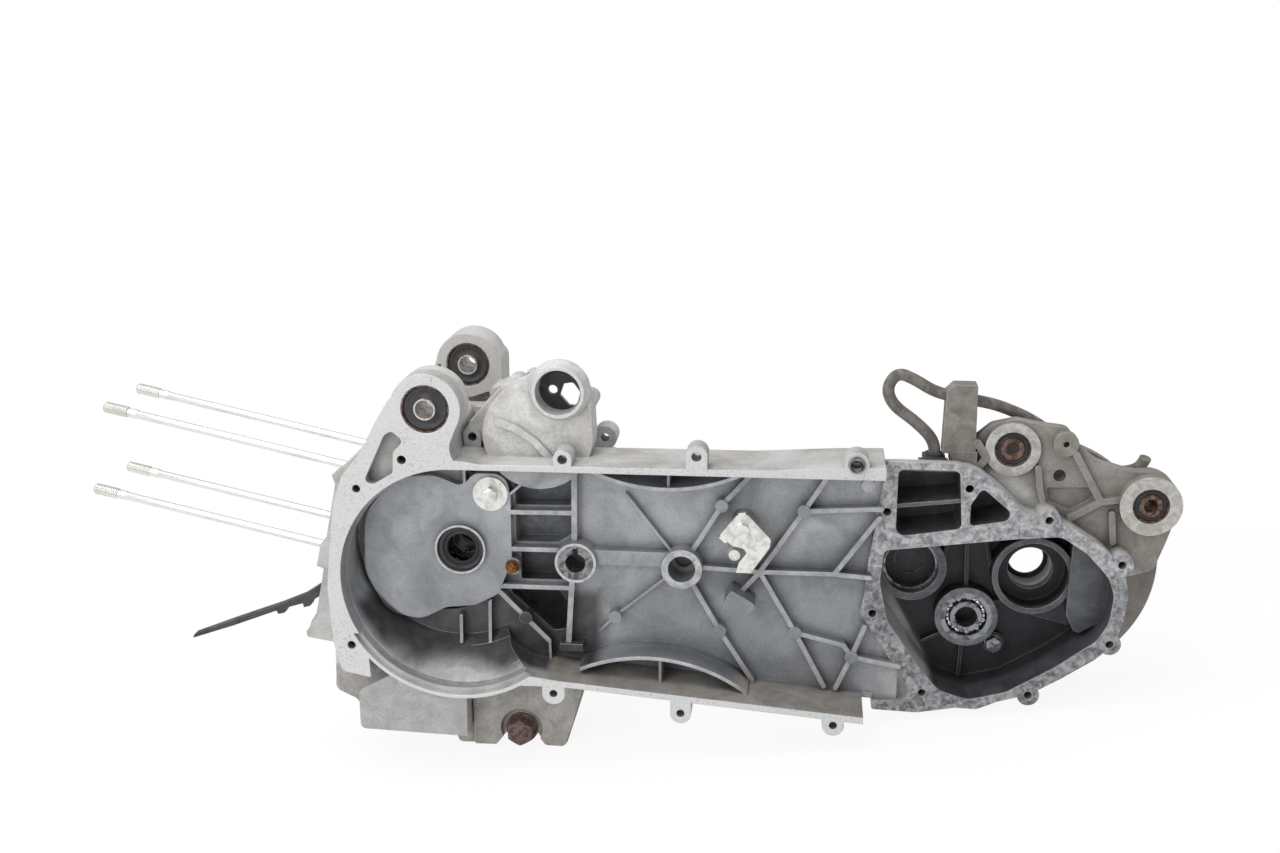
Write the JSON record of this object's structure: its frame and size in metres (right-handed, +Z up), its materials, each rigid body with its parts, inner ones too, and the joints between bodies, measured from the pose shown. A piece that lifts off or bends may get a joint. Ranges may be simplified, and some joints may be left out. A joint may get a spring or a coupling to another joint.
{
  "type": "engine crankcase",
  "caption": "Scooter engine crankcase set with open belt case, gear bay, hanger arms with rubber bushes, cylinder studs, breather hose and chain guide",
  "frame": {"origin": "on the crankshaft axis, at the middle of the left main bearing", "axes": "+X to the rear wheel, +Y to the generator side along the crankshaft, +Z up as the casting stands on its sump lug and brake plate"},
  "size_m": [0.7472, 0.165, 0.2877],
  "materials": {
    "cast_aluminium": "sand cast, dull, stained with oil and road dirt",
    "gasket_paper": "oiled paper",
    "rubber": "aged, matt",
    "rusty_steel": "steel with brown surface rust",
    "zinc_plated_steel": "zinc plated, dulled",
    "bearing_steel": "ground steel, oily",
    "guide_plastic": "hard oil-stained plastic"
  },
  "bodies": {
    "case": {"left_crankcase": "cast_aluminium", "right_crankcase": "cast_aluminium", "crankcase_gasket": "gasket_paper", "hanger_bush_left_outer_sleeve": "rusty_steel", "hanger_bush_left_rubber": "rubber", "hanger_bush_left_inner_sleeve": "bearing_steel", "hanger_bush_right_outer_sleeve": "rusty_steel", "hanger_bush_right_rubber": "rubber", "hanger_bush_right_inner_sleeve": "bearing_steel", "rear_eye_front_outer_sleeve": "rusty_steel", "rear_eye_front_rubber": "rubber", "rear_eye_front_inner_sleeve": "bearing_steel", "rear_eye_rear_outer_sleeve": "rusty_steel", "rear_eye_rear_rubber": "rubber", "rear_eye_rear_inner_sleeve": "bearing_steel", "cylinder_stud_upper_left": "zinc_plated_steel", "cylinder_stud_lower_left": "zinc_plated_steel", "cylinder_stud_upper_right": "zinc_plated_steel", "cylinder_stud_lower_right": "zinc_plated_steel", "chain_guide_pin": "bearing_steel", "crank_oil_seal": "rubber", "left_main_bearing_outer_race": "bearing_steel", "right_main_bearing_outer_race": "bearing_steel", "middle_bearing_outer_race": "bearing_steel", "primary_bearing_ring": "bearing_steel", "axle_oil_seal": "rubber", "kick_shaft_bush": "bearing_steel", "guard_washer": "zinc_plated_steel", "guard_washer_bolt": "zinc_plated_steel", "tray_screw": "rusty_steel", "stop_plate": "zinc_plated_steel", "stop_plate_screw": "zinc_plated_steel", "stop_pin": "bearing_steel", "cover_dowel": "bearing_steel", "gear_bay_bolt": "bearing_steel", "drain_washer": "bearing_steel", "drain_bolt": "rusty_steel", "brake_anchor_pin": "rusty_steel", "case_bolts": "zinc_plated_steel", "breather_grommet": "rubber", "breather_hose": "rubber"},
    "guide": {"chain_guide": "guide_plastic"},
    "left_main_inner": {"left_main_bearing_inner_race": "bearing_steel"},
    "left_main_cage": {"left_main_bearing_cage": "bearing_steel"},
    "right_main_inner": {"right_main_bearing_inner_race": "bearing_steel"},
    "right_main_cage": {"right_main_bearing_cage": "bearing_steel"},
    "middle_inner": {"middle_bearing_inner_race": "bearing_steel"},
    "middle_cage": {"middle_bearing_cage": "bearing_steel"}
  },
  "joints": [
    {"name": "chain_guide_pivot", "type": "hinge", "parent": "case", "child": "guide", "pos_m": [-0.0629, -0.009, -0.01787], "axis": [0, 1, 0], "range_deg": [0, 15]},
    {"name": "left_main_bearing_turn", "type": "hinge", "parent": "case", "child": "left_main_inner", "pos_m": [0, 0, 0], "axis": [0, 1, 0], "continuous": true},
    {"name": "left_main_cage_turn", "type": "hinge", "parent": "case", "child": "left_main_cage", "pos_m": [0, 0, 0], "axis": [0, 1, 0], "continuous": true},
    {"name": "right_main_bearing_turn", "type": "hinge", "parent": "case", "child": "right_main_inner", "pos_m": [0, 0.0605, 0], "axis": [0, 1, 0], "continuous": true},
    {"name": "right_main_cage_turn", "type": "hinge", "parent": "case", "child": "right_main_cage", "pos_m": [0, 0.0605, 0], "axis": [0, 1, 0], "continuous": true},
    {"name": "middle_bearing_turn", "type": "hinge", "parent": "case", "child": "middle_inner", "pos_m": [0.33719, 0.0085, -0.09301], "axis": [0, 1, 0], "continuous": true},
    {"name": "middle_cage_turn", "type": "hinge", "parent": "case", "child": "middle_cage", "pos_m": [0.33719, 0.0085, -0.09301], "axis": [0, 1, 0], "continuous": true}
  ],
  "couplings": [
    {"joint": "left_main_cage_turn", "follows": "left_main_bearing_turn", "ratio": 0.4},
    {"joint": "right_main_cage_turn", "follows": "right_main_bearing_turn", "ratio": 0.4},
    {"joint": "middle_cage_turn", "follows": "middle_bearing_turn", "ratio": 0.4}
  ]
}
